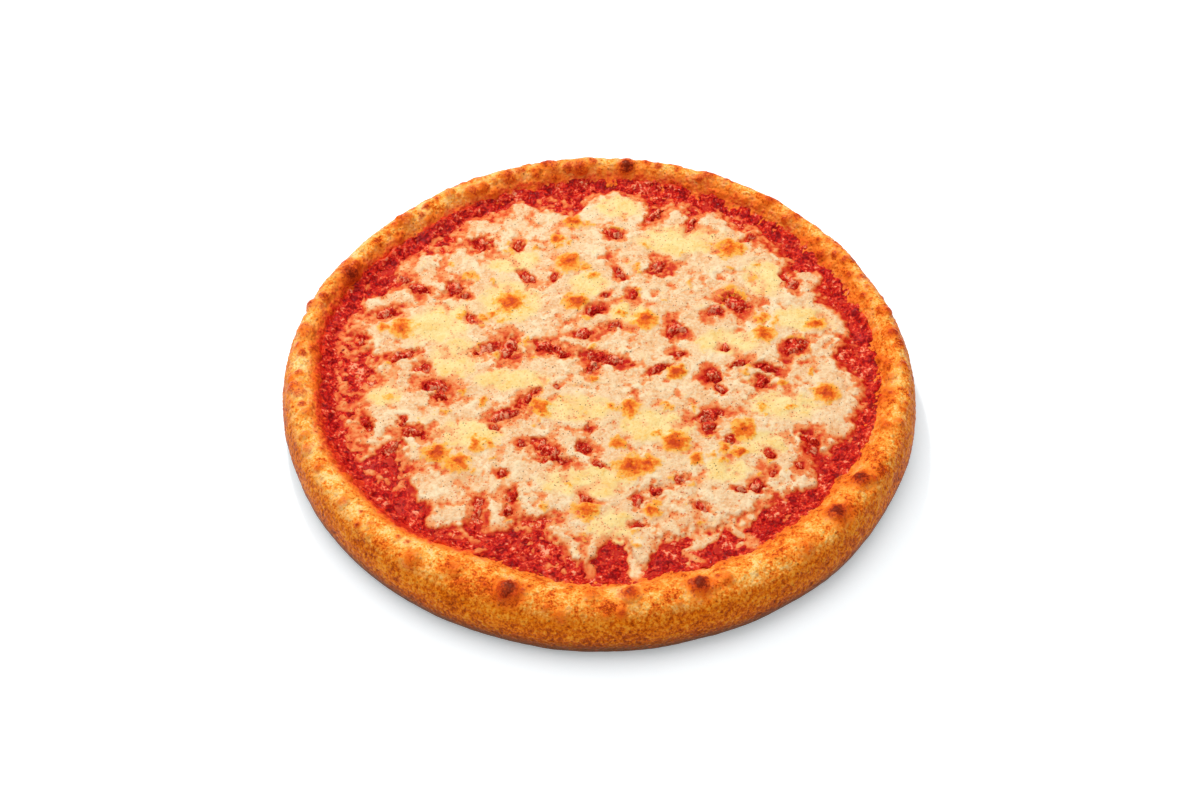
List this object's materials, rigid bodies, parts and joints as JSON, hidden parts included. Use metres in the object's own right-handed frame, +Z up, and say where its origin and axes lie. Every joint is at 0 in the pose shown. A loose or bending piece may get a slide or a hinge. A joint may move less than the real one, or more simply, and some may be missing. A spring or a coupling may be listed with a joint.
{
  "type": "margherita pizza",
  "caption": "Whole round cheese and tomato pizza: raised, blistered bread crust, a ring of tomato sauce, and a sheet of melted cheese with windows through which the sauce shows.",
  "frame": {"origin": "on the table under the middle of the pizza, at its flat base", "axes": "+Z up out of the toppings, +X to the right and -Y towards the viewer of the picture; the pizza is nearly round, so X and Y only place its lobes and blisters"},
  "size_m": [0.3002, 0.3008, 0.0293],
  "materials": {
    "crust": "baked dough, golden orange with paler flour-dusted grains on its side, brown towards its foot and red-brown on its blisters",
    "sauce": "wet, pulpy tomato sauce, deep red with glossy lumps",
    "cheese": "melted mozzarella, creamy white with butter-yellow pools, pink where it is thin over the sauce, and orange-brown toasted bubbles"
  },
  "bodies": {
    "root": {"crust": "crust", "sauce": "sauce", "cheese": "cheese"}
  },
  "joints": []
}
